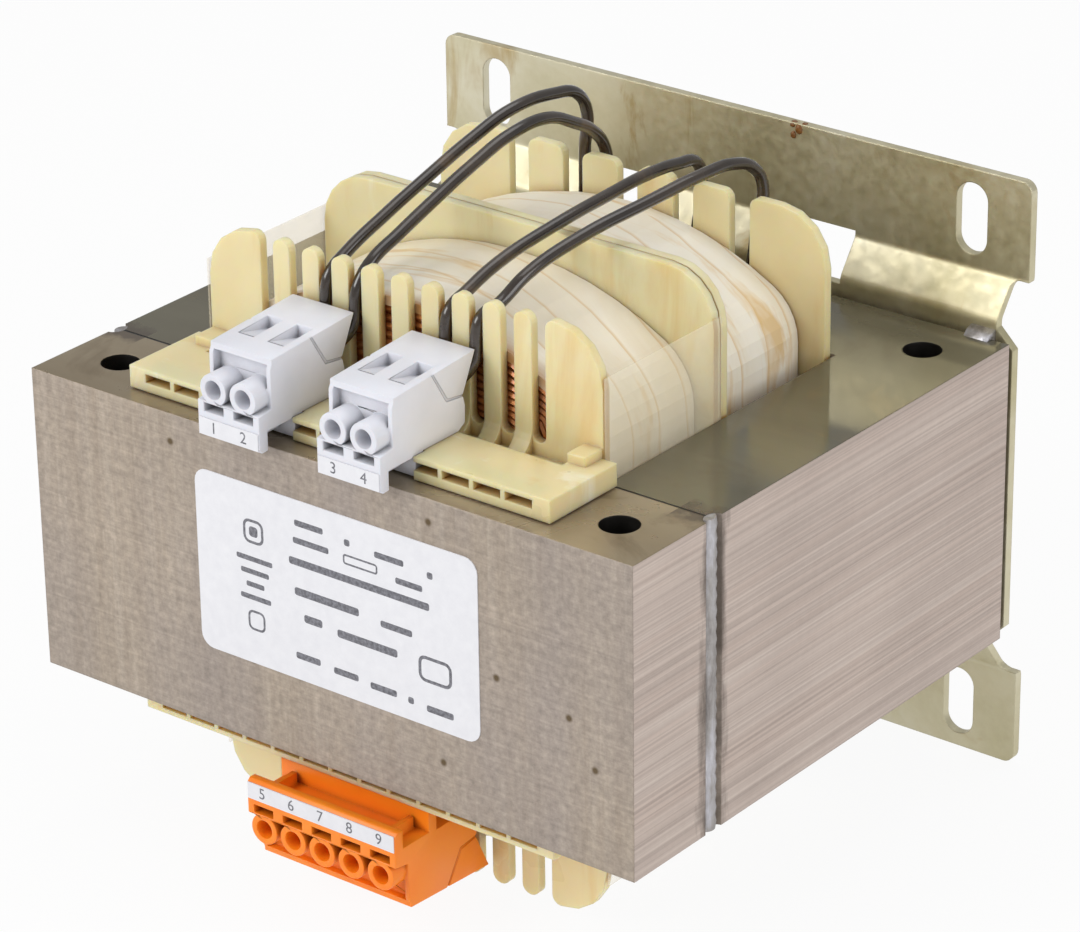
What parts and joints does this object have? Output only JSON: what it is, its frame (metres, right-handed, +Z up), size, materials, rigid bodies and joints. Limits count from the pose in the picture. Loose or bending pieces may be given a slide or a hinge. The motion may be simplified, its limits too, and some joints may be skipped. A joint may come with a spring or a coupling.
{
  "type": "laminated chassis transformer",
  "caption": "Laminated isolating transformer on a slotted chassis bracket, with two comb-flanged bobbins and screwless terminal blocks.",
  "frame": {"origin": "centre of the core's four through-holes, on the lower face of the lamination stack", "axes": "+X right along the front yoke, +Y from the terminals back to the mounting bracket, +Z up through the lamination stack"},
  "size_m": [0.1504, 0.1388, 0.1435],
  "materials": {
    "core": "varnished laminations",
    "weld": "rough weld bead",
    "bracket": "zinc plated sheet with varnish stains",
    "bobbin": "cream moulded plastic, slightly translucent",
    "copper": "enamelled copper wire",
    "tape": "insulating tape with varnish",
    "film": "clear plastic film",
    "block_white": "satin",
    "block_orange": "satin",
    "contact": "tinned sheet metal",
    "lead": "varnished sleeving",
    "label": "satin paper"
  },
  "bodies": {
    "root": {"core_yoke": "core", "core_e_stack": "core", "seam_weld_left": "weld", "seam_weld_right": "weld", "mounting_bracket": "bracket", "bracket_welds": "weld", "bobbin_front": "bobbin", "bobbin_rear": "bobbin", "copper_front": "copper", "copper_rear": "copper", "wrap_front": "tape", "wrap_rear": "tape", "side_film_left": "film", "side_film_right": "film", "block_left": "block_white", "block_right": "block_white", "block_lower": "block_orange", "contacts_left": "contact", "contacts_right": "contact", "contacts_lower": "contact", "marker_left": "label", "marker_right": "label", "marker_lower": "label", "lead_1": "lead", "lead_2": "lead", "lead_3": "lead", "lead_4": "lead", "lower_leads": "lead", "rating_label": "label"}
  },
  "joints": []
}
